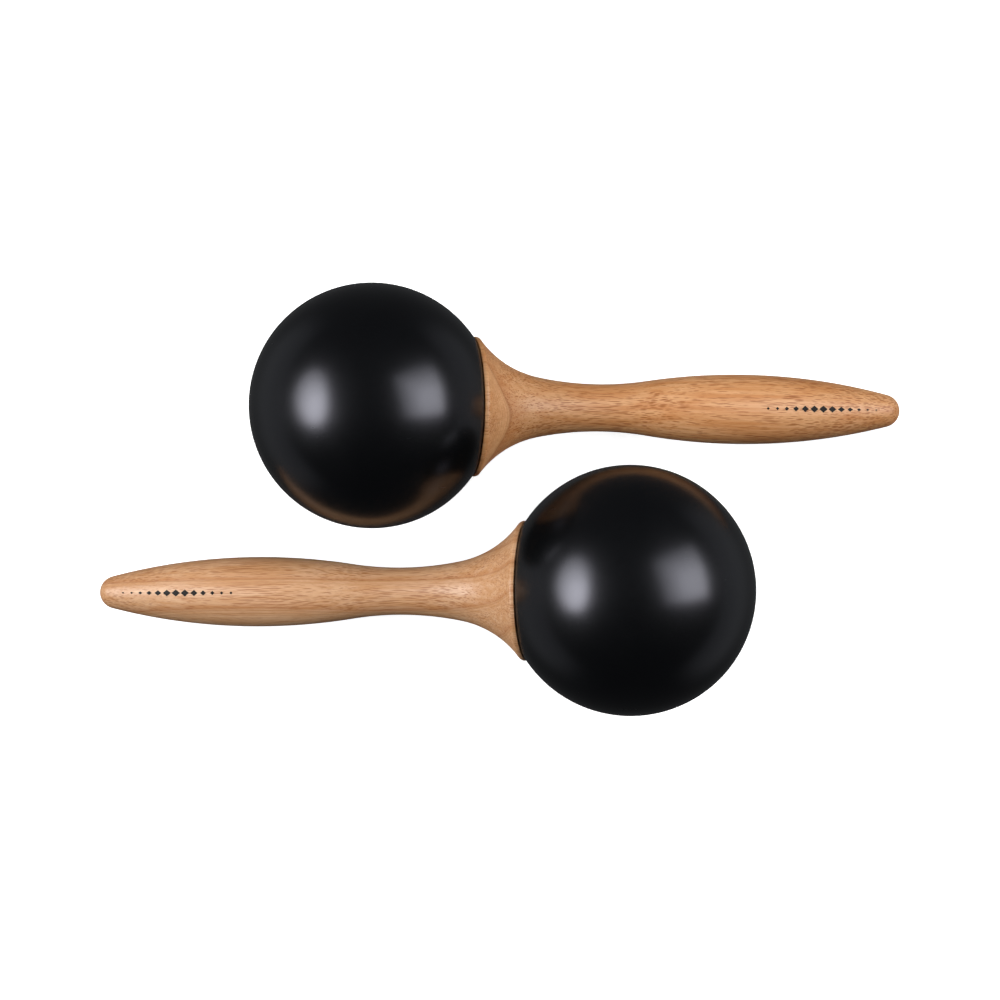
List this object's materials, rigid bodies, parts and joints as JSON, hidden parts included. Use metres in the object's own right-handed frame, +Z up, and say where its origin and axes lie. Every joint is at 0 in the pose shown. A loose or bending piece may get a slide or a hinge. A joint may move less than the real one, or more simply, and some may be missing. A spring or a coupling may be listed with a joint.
{
  "type": "maracas",
  "caption": "Pair of maracas: hollow black balls with loose shot inside, on turned wooden handles with flared collars, laid head to tail.",
  "frame": {"origin": "the middle of the pair's footprint, on the surface that they lie on", "axes": "+Z up from that surface, +X along the handles, towards the tip of maraca a, +Y from maraca b to maraca a"},
  "size_m": [0.3174, 0.1656, 0.096],
  "materials": {
    "black_lacquer": "satin black lacquer over moulded plastic, soft broad highlights",
    "rubberwood": "fine-sanded rubberwood under clear satin varnish, lengthwise grain with short dark pores",
    "zinc_steel": "zinc-plated steel",
    "steel_shot": "plain tumbled steel balls",
    "ornament_ink": "matt black pad-printed ink under the varnish"
  },
  "bodies": {
    "maraca_a": {"shell_front_a": "black_lacquer", "shell_rear_a": "black_lacquer", "handle_a": "rubberwood", "handle_screw_a": "zinc_steel", "screw_washer_a": "zinc_steel"},
    "shot_swirl_a": {"shot_wall_layer_a": "steel_shot"},
    "shot_swing_a": {"shot_middle_layer_a": "steel_shot"},
    "shot_throw_a": {"shot_top_layer_a": "steel_shot"},
    "maraca_b": {"shell_front_b": "black_lacquer", "shell_rear_b": "black_lacquer", "handle_b": "rubberwood", "handle_screw_b": "zinc_steel", "screw_washer_b": "zinc_steel"},
    "shot_swirl_b": {"shot_wall_layer_b": "steel_shot"},
    "shot_swing_b": {"shot_middle_layer_b": "steel_shot"},
    "shot_throw_b": {"shot_top_layer_b": "steel_shot"}
  },
  "joints": [
    {"name": "lift_b", "type": "slide", "parent": "maraca_a", "child": "maraca_b", "axis": [0, 0, 1], "range_m": [0, 0.15]},
    {"name": "swirl_a", "type": "hinge", "parent": "maraca_a", "child": "shot_swirl_a", "pos_m": [-0.04884, 0.0358, 0.047], "axis": [0.9805, -0.0034, -0.1963], "continuous": true},
    {"name": "swing_a", "type": "hinge", "parent": "shot_swirl_a", "child": "shot_swing_a", "pos_m": [-0.04884, 0.0358, 0.047], "axis": [0.0035, 1, 0], "range_deg": [-20, 80]},
    {"name": "throw_a", "type": "slide", "parent": "shot_swirl_a", "child": "shot_throw_a", "axis": [0, 0, 1], "range_m": [0, 0.0735]},
    {"name": "swirl_b", "type": "hinge", "parent": "maraca_b", "child": "shot_swirl_b", "pos_m": [0.04986, -0.0348, 0.048], "axis": [-0.9797, -0.0103, -0.2002], "continuous": true},
    {"name": "swing_b", "type": "hinge", "parent": "shot_swirl_b", "child": "shot_swing_b", "pos_m": [0.04986, -0.0348, 0.048], "axis": [0.0105, -0.9999, 0], "range_deg": [-20, 80]},
    {"name": "throw_b", "type": "slide", "parent": "shot_swirl_b", "child": "shot_throw_b", "axis": [0, 0, 1], "range_m": [0, 0.0755]}
  ]
}
